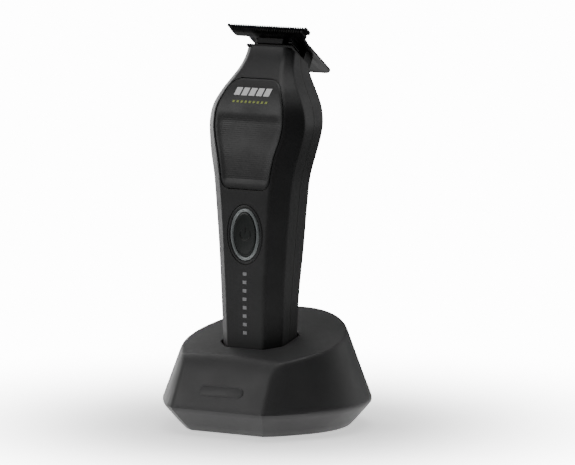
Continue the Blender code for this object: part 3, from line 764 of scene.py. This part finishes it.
def build_button():
    bezel = ring_mesh("bezel", BEZEL_OUTER, BEZEL_INNER, 0.12, -1.3, 0.25)
    bezel = add_piece("button_bezel_skin", bezel, "casing", "trimmer")
    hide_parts("button_bezel")
    ring = ring_mesh("ring", RING_OUTER, RING_INNER, 0.35, -1.1, 0.45)
    ring = add_piece("light_ring_skin", ring, "light_ring", "trimmer")
    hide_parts("button_light_ring")
    cap = add_piece("power_button_skin", button_cap_mesh(), "button", "button")
    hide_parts("power_button")
    build_power_sign()


def tube_mesh(name, points, radius, matrix):
    """A flattened round bar along a short flat path, with closed ends."""
    sides = 10
    path = [Vector(point) for point in points]
    rings = []
    for i, here in enumerate(path):
        along = (path[min(i + 1, len(path) - 1)] - path[max(i - 1, 0)]).normalized()
        side = Vector((-along.y, along.x))
        ring = []
        for k in range(sides):
            turn = 2 * math.pi * k / sides
            spot = here + side * radius * math.cos(turn)
            ring.append((spot.x, spot.y, radius * 0.5 * math.sin(turn)))
        rings.append(ring)
    mesh = loft_mesh(name, rings)
    mesh.transform(matrix)
    return mesh


def build_power_sign():
    """The usual standby sign: an open circle and a stroke."""
    lift = button_matrix() @ place_at(0, 0, -0.12)
    arc = []
    steps = 24
    for i in range(steps + 1):
        turn = math.radians(90 + SIGN_OPENING / 2 + (360 - SIGN_OPENING) * i / steps)
        arc.append((SIGN_RADIUS * math.cos(turn), SIGN_RADIUS * math.sin(turn)))
    stroke = [(0, y) for y in SIGN_STROKE]
    for name, path in (("power_sign_circle", arc), ("power_sign_stroke", stroke)):
        mesh = tube_mesh(name, path, SIGN_THICK, lift)
        add_piece(name, mesh, "screw_black", "button", 60)


# ---------------------------------------------------------------- printed marks


def printed_mesh(name, middle, width, height, slant=0.0):
    """A thin closed print that follows the front surface, leaning by slant from foot to top."""
    rings = []
    steps = 6
    for i in range(steps + 1):
        share = i / steps - 0.5
        x = middle[0] + slant * share
        z = middle[1] + height * share
        near, far = front_y(z) - PRINT_PROUD, front_y(z) + PRINT_SUNK
        left, right = x - width / 2, x + width / 2
        rings.append([(left, near, z), (right, near, z), (right, far, z), (left, far, z)])
    return loft_mesh(name, rings)


def build_prints():
    bars, bar_pitch, bar_z = 5, 3.7, 149.6
    for i in range(bars):
        name = f"white_bar_{i + 1}"
        middle = ((i - (bars - 1) / 2) * bar_pitch, bar_z)
        mesh = printed_mesh(name, middle, 2.85, 3.3, 1.0)
        add_piece(name, mesh, "white_ink", "trimmer")
    dashes, dash_pitch, dash_z = 9, 2.05, 145.3
    for i in range(dashes):
        name = f"green_dash_{i + 1}"
        middle = ((i - (dashes - 1) / 2) * dash_pitch - 0.5, dash_z)
        mesh = printed_mesh(name, middle, 1.1, 0.95, 0.25)
        add_piece(name, mesh, "green_ink", "trimmer")
    marks, mark_pitch, lowest_mark = 8, 3.75, 43.5
    for i in range(marks):
        name = f"handle_mark_{i + 1}"
        mesh = printed_mesh(name, (0.0, lowest_mark + i * mark_pitch), 1.9, 1.5)
        add_piece(name, mesh, "grey_ink", "trimmer")


# ---------------------------------------------------------------- blades


def toothed_edge(half_width, tip, pitch):
    """The teeth from -X to +X, each slot a little wider at its mouth."""
    root = tip + TOOTH_DEPTH
    count = int((2 * half_width - 0.5 * pitch) // pitch)
    start = -count * pitch / 2
    slot_half = pitch * TOOTH_SLOT_SHARE / 2
    mouth_half = slot_half * 1.3
    points = []
    for i in range(count):
        slot = start + (i + 0.5) * pitch
        points += [(slot - mouth_half, tip), (slot - slot_half, root)]
        points += [(slot + slot_half, root), (slot + mouth_half, tip)]
    return [(-half_width, tip)] + points + [(half_width, tip)]


def blade_outline(half_width, tip, bar_back, stem_half, stem_back, corner, pitch):
    """A T: toothed bar, fillets and a stem with rounded corners."""
    right = [(half_width, bar_back - 1.2), (half_width - 0.4, bar_back - 0.4)]
    right.append((half_width - 1.2, bar_back))
    for i in range(9):
        turn = math.pi / 2 * i / 8
        x = stem_half + STEM_FILLET * (1 - math.sin(turn))
        right.append((x, bar_back + STEM_FILLET * (1 - math.cos(turn))))
    for i in range(7):
        turn = math.pi / 2 * i / 6
        x = stem_half - corner * (1 - math.cos(turn))
        right.append((x, stem_back - corner * (1 - math.sin(turn))))
    return toothed_edge(half_width, tip, pitch) + right + [(-x, y) for x, y in reversed(right)]


def build_blades():
    pitch = detail().tooth_pitch / MM
    matrix = blade_matrix()
    build_fixed_blade(matrix, pitch)
    build_cutter_blade(matrix, pitch)
    for side, word in ((-1, "left"), (1, "right")):
        place = place_at(side * BLADE_SCREW_X, BLADE_SCREW_BACK, -STEM_STEP)
        build_blade_screw(matrix @ place, word)


def build_fixed_blade(matrix, pitch):
    stem = (STEM_HALF_WIDTH, BLADE_LENGTH, STEM_CORNER)
    outline = blade_outline(BLADE_HALF_WIDTH, 0.0, BAR_DEPTH, *stem, pitch)
    mesh = plate_mesh(outline, -BLADE_THICK, 0.0, matrix)
    cutters = [box_mesh((-30, COMB_SEAT_DEPTH, -STEM_STEP), (30, 60, 3), matrix)]
    hole = oval(BLADE_SCREW_HOLE, BLADE_SCREW_HOLE, 32)
    for side in (-1, 1):
        place = matrix @ place_at(side * BLADE_SCREW_X, BLADE_SCREW_BACK, 0)
        cutters.append(plate_mesh(hole, -3, 3, place))
    mesh = bevelled(cut_mesh(mesh, cutters), detail().blade_edge)
    piece = add_piece("fixed_blade_skin", mesh, "blade", "trimmer", 40)
    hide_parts("fixed_blade")


def build_cutter_blade(matrix, pitch):
    stem = (CUTTER_STEM_HALF_WIDTH, CUTTER_LENGTH, CUTTER_CORNER)
    outline = blade_outline(CUTTER_HALF_WIDTH, CUTTER_SETBACK, CUTTER_BAR_DEPTH, *stem, pitch)
    high = -BLADE_THICK - GAP
    low = high - CUTTER_THICK
    cutter = plate_mesh(outline, low, high, matrix)
    count = int(2 * CUTTER_HALF_WIDTH / pitch)
    joined = bmesh.new()
    for i in range(count):
        x = (i - (count - 1) / 2) * pitch
        near, far = x - GROOVE_HALF_WIDTH, x + GROOVE_HALF_WIDTH
        groove = box_mesh((near, 0.0, low - 1.2), (far, GROOVE_LENGTH, low + GROOVE_DEPTH), matrix)
        joined.from_mesh(groove)
    comb = bpy.data.meshes.new("groove_comb")
    joined.to_mesh(comb)
    joined.free()
    mesh = cut_mesh(cutter, [comb])
    piece = add_piece("cutter_blade_skin", mesh, "blade", "cutter", 40)
    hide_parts("cutter_blade")


def turned_mesh(name, profile, matrix, count=32):
    """A turned solid from (radius, height) points."""
    rings = [[(r * x, r * y, z) for x, y in oval(1.0, 1.0, count)] for r, z in profile]
    mesh = loft_mesh(name, rings)
    mesh.transform(matrix)
    return mesh


def build_blade_screw(matrix, word):
    mesh = turned_mesh("blade_screw", BLADE_SCREW_PROFILE, matrix)
    cross = []
    for x, y in ((CROSS_HALF_LENGTH, CROSS_HALF_WIDTH), (CROSS_HALF_WIDTH, CROSS_HALF_LENGTH)):
        cross.append(box_mesh((-x, -y, 0.7), (x, y, 3), matrix))
    mesh = cut_mesh(mesh, cross)
    name = f"blade_screw_{word}_skin"
    screw = add_piece(name, mesh, "screw_black", "trimmer", 40)
    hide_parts("blade_screw_" + word)


# ---------------------------------------------------------------- dock


def dock_outline_radius(angle):
    """Plan radius of the widest line; angle 0 is the front, mirrored left and right."""
    turn = abs(angle)
    flat_end = math.atan2(FRONT_HALF_WIDTH, DOCK_FRONT)
    corner_end = math.atan2(*CORNER_POINT)
    if turn <= flat_end:
        return DOCK_FRONT / math.cos(turn)
    if turn <= corner_end:
        run = (CORNER_POINT[0] - FRONT_HALF_WIDTH, CORNER_POINT[1] - DOCK_FRONT)
        cross = FRONT_HALF_WIDTH * run[1] - DOCK_FRONT * run[0]
        return cross / (math.sin(turn) * run[1] - math.cos(turn) * run[0])
    corner_radius = math.hypot(*CORNER_POINT)
    share = max(0.0, (BLEND_ANGLE - turn) / (BLEND_ANGLE - corner_end))
    return DOCK_RADIUS + (corner_radius - DOCK_RADIUS) * share**2


def soft_min(a, b, reach):
    """The smaller of two heights, rounded over where they meet."""
    gap = max(reach - abs(a - b), 0.0) / reach
    return min(a, b) - gap * gap * reach / 4


def dock_point(angle, radius):
    return radius * math.sin(angle), -radius * math.cos(angle)


def dock_height(angle, radius):
    """Height of the dock's upper surface: the lowest of front, corner band, roof and wall."""
    x, y = dock_point(angle, radius)
    across = abs(x)
    front = CREASE_Z + (y + DOCK_FRONT) * FRONT_SLOPE
    band = CREASE_Z - BAND_SLOPE_X * (across - FRONT_HALF_WIDTH) + BAND_SLOPE_Y * (y + DOCK_FRONT)
    roof = ROOF_HEIGHT + ROOF_SLOPE * y - ROOF_CROWN * x * x
    wall = CREASE_Z + (dock_outline_radius(angle) - radius) / WALL_LEAN
    top = soft_min(front, roof, FRONT_EDGE_SOFTNESS)
    top = soft_min(top, band, BAND_EDGE_SOFTNESS)
    if abs(angle) <= math.atan2(*CORNER_POINT):
        return top
    return soft_min(top, wall, WALL_EDGE_SOFTNESS)


def inset(points, distance):
    """The outline with each side moved inwards; a distance below 0 moves them outwards."""
    corners = [Vector(point) for point in points]
    moved = []
    for i, here in enumerate(corners):
        first = (here - corners[i - 1]).normalized()
        second = (corners[(i + 1) % len(corners)] - here).normalized()
        inwards = Vector((first.y, -first.x)), Vector((second.y, -second.x))
        share = distance / (1 + inwards[0].dot(inwards[1]))
        moved.append(here + (inwards[0] + inwards[1]) * share)
    return moved


def socket_outline():
    """The socket's opening: the handle's section with clearance and rounded corners."""
    _, half, flat, front, back, side = station_at(SOCKET_Z)
    middle = (front + back) / 2
    corners = [
        (half, middle + side), (half, middle - side), (flat, front), (-flat, front),
        (-half, middle - side), (-half, middle + side), (-flat, back), (flat, back),
    ]
    grown = inset(corners, -SOCKET_GAP)
    points = []
    for i in range(8):
        points += arc_corner(grown[i - 1], grown[i], grown[(i + 1) % 8], EDGE_ROUND + SOCKET_GAP)
    return points


def ray_radius(outline, angle):
    """Distance from the dock's middle to an outline, along angle."""
    dx, dy = dock_point(angle, 1.0)
    best = 0.0
    for start, end in zip(outline, outline[1:] + outline[:1]):
        ex, ey = end[0] - start[0], end[1] - start[1]
        cross = dx * ey - dy * ex
        if abs(cross) < 1e-9:
            continue
        distance = (start[0] * ey - start[1] * ex) / cross
        share = (start[0] * dy - start[1] * dx) / cross
        if distance > 0 and -1e-6 <= share <= 1 + 1e-6:
            best = max(best, distance)
    return best


def dock_angles():
    """Even angles round the dock, with one on each edge of the corner bands."""
    special = [math.atan2(FRONT_HALF_WIDTH, DOCK_FRONT), math.atan2(*CORNER_POINT)]
    special += [-turn for turn in special]
    even = [-math.pi + 2 * math.pi * (i + 1) / DOCK_ANGLES for i in range(DOCK_ANGLES)]
    kept = [turn for turn in even if all(abs(turn - other) > 0.008 for other in special)]
    return sorted(kept + special)


def dock_column(angle, hole):
    """(radius, z) from the foot up the outside, over the rim and back down the inside."""
    wide = dock_outline_radius(angle)
    foot = wide * FOOT_SHARE
    column = [(foot - 0.5, DOCK_EDGE_Z), (foot, DOCK_EDGE_Z + 0.25)]
    for share in (0.3, 0.6, 0.84, 0.93):
        z = DOCK_EDGE_Z + (CREASE_Z - DOCK_EDGE_Z) * share
        column.append((foot + (wide - foot) * share, z))
    column.append((wide - 0.32, CREASE_Z + 0.25))
    column.append((wide - 0.42, dock_height(angle, wide - 0.42) + 0.15))
    span = wide - 0.9 - (hole + 0.5)
    for i in range(TOP_ROWS + 1):
        radius = wide - 0.9 - span * (i / TOP_ROWS) ** 1.15
        column.append((radius, dock_height(angle, radius)))
    column.append((hole + 0.2, dock_height(angle, hole + 0.2) - 0.1))
    column.append((hole, dock_height(angle, hole) - 0.45))
    column.append((hole, dock_height(angle, hole) - DOCK_WALL))
    inner_rows = 5
    for i in range(inner_rows + 1):
        radius = hole + 0.8 + (wide - DOCK_WALL - 9.0 - hole) * i / inner_rows
        column.append((radius, dock_height(angle, radius + DOCK_WALL) - DOCK_WALL - 0.6))
    column.append((wide - DOCK_WALL - 0.6, CREASE_Z))
    column.append((foot - DOCK_WALL, DOCK_EDGE_Z))
    return column


def dock_rings():
    rim = socket_outline()
    columns = []
    for angle in dock_angles():
        column = dock_column(angle, ray_radius(rim, angle))
        columns.append([(*dock_point(angle, radius), z) for radius, z in column])
    return [list(ring) for ring in zip(*columns)]


def build_dock():
    mesh = loft_mesh("dock_skin", dock_rings(), looped=True)
    low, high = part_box("dock_inlet")
    near = (low.x / MM - GAP, 30, low.z / MM - GAP)
    far = (high.x / MM + GAP, 60, high.z / MM + GAP)
    window = box_mesh(near, far)
    piece = add_piece("dock_skin", cut_mesh(mesh, [window]), "dock_casing", "dock", 24)
    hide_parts("dock_shell")
    build_dock_mark()


def build_dock_mark():
    """A plain raised bar on the dock's front face."""
    lean = math.atan(FRONT_SLOPE)
    y = -DOCK_FRONT + (DOCK_MARK_Z - CREASE_Z) / FRONT_SLOPE
    matrix = place_at(0, y, DOCK_MARK_Z, Matrix.Rotation(lean, 4, "X"))
    half, tall = DOCK_MARK_HALF_SIZE
    outline = []
    for side in (1, -1):
        for i in range(13):
            turn = math.radians(180 * i / 12 - side * 90)
            outline.append((side * (half - tall) + tall * math.cos(turn), tall * math.sin(turn)))
    mesh = bevelled(plate_mesh(outline, -0.5, 0.28, matrix), 0.00018)
    add_piece("dock_mark", mesh, "dock_casing", "dock", 50)


# ---------------------------------------------------------------- finishes of the kept nodes


def dress_kept_nodes():
    slots = {entry["node"]: entry["material_slot"] for entry in frame["record"]["subparts"]}
    for name, node in frame["nodes"].items():
        material = finish_for(slots[name])
        if not node.material_slots:
            node.data.materials.append(material)
        for slot in node.material_slots:
            slot.material = material


# ---------------------------------------------------------------- stage


def add_area(name, place, size, power):
    """A soft white light aimed at the object's middle."""
    light = bpy.data.lights.new(name, "AREA")
    light.shape = "RECTANGLE"
    light.size, light.size_y = size
    light.energy = power
    obj = bpy.data.objects.new(name, light)
    bpy.context.scene.collection.objects.link(obj)
    obj.location = place
    obj.rotation_euler = aimed(place, OBJECT_MIDDLE)


def aimed(place, target):
    return (Vector(target) - Vector(place)).to_track_quat("-Z", "Y").to_euler()


def around(azimuth, distance, height):
    """A place round the object; azimuth 0 is in front and grows towards +X."""
    turn = math.radians(azimuth)
    return (distance * math.sin(turn), -distance * math.cos(turn), height)


def build_world():
    """A dark studio round the object, seen by the camera as a white backdrop."""
    world = bpy.data.worlds.new("studio")
    bpy.context.scene.world = world
    world.use_nodes = True
    tree = world.node_tree
    tree.nodes.clear()
    output = tree.nodes.new("ShaderNodeOutputWorld")
    mix = tree.nodes.new("ShaderNodeMixShader")
    lamp = tree.nodes.new("ShaderNodeBackground")
    seen = tree.nodes.new("ShaderNodeBackground")
    path = tree.nodes.new("ShaderNodeLightPath")
    lamp.inputs["Color"].default_value = (1, 1, 1, 1)
    lamp.inputs["Strength"].default_value = 0.03
    seen.inputs["Color"].default_value = (1, 1, 1, 1)
    seen.inputs["Strength"].default_value = 14.0
    tree.links.new(path.outputs["Is Camera Ray"], mix.inputs["Fac"])
    tree.links.new(lamp.outputs["Background"], mix.inputs[1])
    tree.links.new(seen.outputs["Background"], mix.inputs[2])
    tree.links.new(mix.outputs["Shader"], output.inputs["Surface"])


def fade_out(material, near, far):
    """Lets the surface fade away between two distances from the object's middle."""
    coords = add_node(material, "ShaderNodeTexCoord")
    length = add_node(material, "ShaderNodeVectorMath", operation="LENGTH")
    fade = add_node(material, "ShaderNodeMapRange", interpolation_type="SMOOTHSTEP")
    fade.inputs["From Min"].default_value = near
    fade.inputs["From Max"].default_value = far
    fade.inputs["To Min"].default_value = 1.0
    fade.inputs["To Max"].default_value = 0.0
    links = material.node_tree.links
    links.new(coords.outputs["Object"], length.inputs[0])
    links.new(length.outputs["Value"], fade.inputs["Value"])
    links.new(fade.outputs["Result"], material.node_tree.nodes["Principled BSDF"].inputs["Alpha"])


def build_floor():
    """A pale floor that fades into the backdrop."""
    bm = bmesh.new()
    bmesh.ops.create_circle(bm, cap_ends=True, segments=96, radius=FLOOR_RADIUS)
    mesh = bpy.data.meshes.new("floor")
    bm.to_mesh(mesh)
    bm.free()
    floor = bpy.data.objects.new("floor", mesh)
    bpy.context.scene.collection.objects.link(floor)
    material = principled("pale_floor", (0.9, 0.9, 0.9, 1), 0.6)
    shader = material.node_tree.nodes["Principled BSDF"]
    shader.inputs["Emission Color"].default_value = (1, 1, 1, 1)
    shader.inputs["Emission Strength"].default_value = 0.9
    vary_socket(material, noise(material, 3.0), "Roughness", 0.55, 0.65)
    fade_out(material, *FLOOR_FADE)
    mesh.materials.append(material)


def build_camera():
    camera = bpy.data.cameras.new("camera")
    obj = bpy.data.objects.new("camera", camera)
    bpy.context.scene.collection.objects.link(obj)
    obj.location = around(CAMERA_AZIMUTH, CAMERA_DISTANCE, CAMERA_HEIGHT)
    obj.rotation_euler = aimed(obj.location, CAMERA_AIM)
    camera.lens = 328.0
    camera.shift_x = 0.035
    camera.shift_y = -0.0045
    camera.clip_end = 50.0
    bpy.context.scene.camera = obj


def build_stage():
    for obj in [o for o in bpy.data.objects if o.type in ("CAMERA", "LIGHT") or o.name == "Cube"]:
        bpy.data.objects.remove(obj)
    build_world()
    build_floor()
    add_area("front_left_key", around(-38, 0.9, 0.45), (0.6, 0.6), 3.6)
    add_area("left_rim", around(-118, 0.9, 0.3), (0.5, 0.8), 3.8)
    add_area("right_back", around(148, 1.0, 0.35), (0.6, 0.8), 1.5)
    add_area("top", (0, 0.1, 1.2), (1.2, 1.2), 11.0)
    build_camera()


# ---------------------------------------------------------------- operators


class CLIPPER_OT_stage(bpy.types.Operator):
    """Floor, soft lights, background and camera"""

    bl_idname = "clipper.stage"
    bl_label = "Build the stage"

    def execute(self, context):
        build_stage()
        return {"FINISHED"}


class CLIPPER_OT_inner_pieces(bpy.types.Operator):
    """Materials of the inner pieces, which keep the frame's shapes"""

    bl_idname = "clipper.inner_pieces"
    bl_label = "Finish the inner pieces"

    def execute(self, context):
        dress_kept_nodes()
        return {"FINISHED"}


class CLIPPER_OT_dock(bpy.types.Operator):
    """Faceted charging dock with its plain raised bar"""

    bl_idname = "clipper.dock"
    bl_label = "Build the dock"

    def execute(self, context):
        build_dock()
        return {"FINISHED"}


class CLIPPER_OT_casing(bpy.types.Operator):
    """Front and rear casing halves of the handle"""

    bl_idname = "clipper.casing"
    bl_label = "Build the casing"

    def execute(self, context):
        build_casing()
        return {"FINISHED"}


class CLIPPER_OT_grip_panel(bpy.types.Operator):
    """Inset grip panel with its sunk, ribbed field"""

    bl_idname = "clipper.grip_panel"
    bl_label = "Build the grip panel"

    def execute(self, context):
        build_panel()
        return {"FINISHED"}


class CLIPPER_OT_power_button(bpy.types.Operator):
    """Bezel, light ring, dished cap and its sign"""

    bl_idname = "clipper.power_button"
    bl_label = "Build the power button"

    def execute(self, context):
        build_button()
        return {"FINISHED"}


class CLIPPER_OT_blades(bpy.types.Operator):
    """Fixed blade, cutter blade and the blade screws"""

    bl_idname = "clipper.blades"
    bl_label = "Build the blades"

    def execute(self, context):
        build_blades()
        return {"FINISHED"}


class CLIPPER_OT_printed_marks(bpy.types.Operator):
    """Bars, dashes and marks on the handle's front"""

    bl_idname = "clipper.printed_marks"
    bl_label = "Build the printed marks"

    def execute(self, context):
        build_prints()
        return {"FINISHED"}


OPERATORS = (
    CLIPPER_OT_stage,
    CLIPPER_OT_inner_pieces,
    CLIPPER_OT_dock,
    CLIPPER_OT_casing,
    CLIPPER_OT_grip_panel,
    CLIPPER_OT_power_button,
    CLIPPER_OT_blades,
    CLIPPER_OT_printed_marks,
)


class CLIPPER_PT_panel(bpy.types.Panel):
    """Lists the clipper's pieces, colours and sizes."""

    bl_label = "Hair clipper"
    bl_space_type = "VIEW_3D"
    bl_region_type = "UI"
    bl_category = "Clipper"

    def draw(self, context):
        for group in (context.scene.clipper_finish, context.scene.clipper_detail):
            for name in group.bl_rna.properties.keys():
                if name not in ("rna_type", "name"):
                    self.layout.prop(group, name)
        for operator in OPERATORS:
            self.layout.operator(operator.bl_idname)


CLASSES = (ClipperFinish, ClipperDetail, *OPERATORS, CLIPPER_PT_panel)


def register():
    for cls in CLASSES:
        bpy.utils.register_class(cls)
    bpy.types.Scene.clipper_finish = bpy.props.PointerProperty(type=ClipperFinish)
    bpy.types.Scene.clipper_detail = bpy.props.PointerProperty(type=ClipperDetail)


def unregister():
    del bpy.types.Scene.clipper_detail
    del bpy.types.Scene.clipper_finish
    for cls in reversed(CLASSES):
        bpy.utils.unregister_class(cls)


def main():
    register()
    bpy.ops.clipper.stage()
    bpy.ops.clipper.inner_pieces()
    bpy.ops.clipper.dock()
    bpy.ops.clipper.casing()
    bpy.ops.clipper.grip_panel()
    bpy.ops.clipper.power_button()
    bpy.ops.clipper.blades()
    bpy.ops.clipper.printed_marks()


if __name__ == "__main__":
    main()
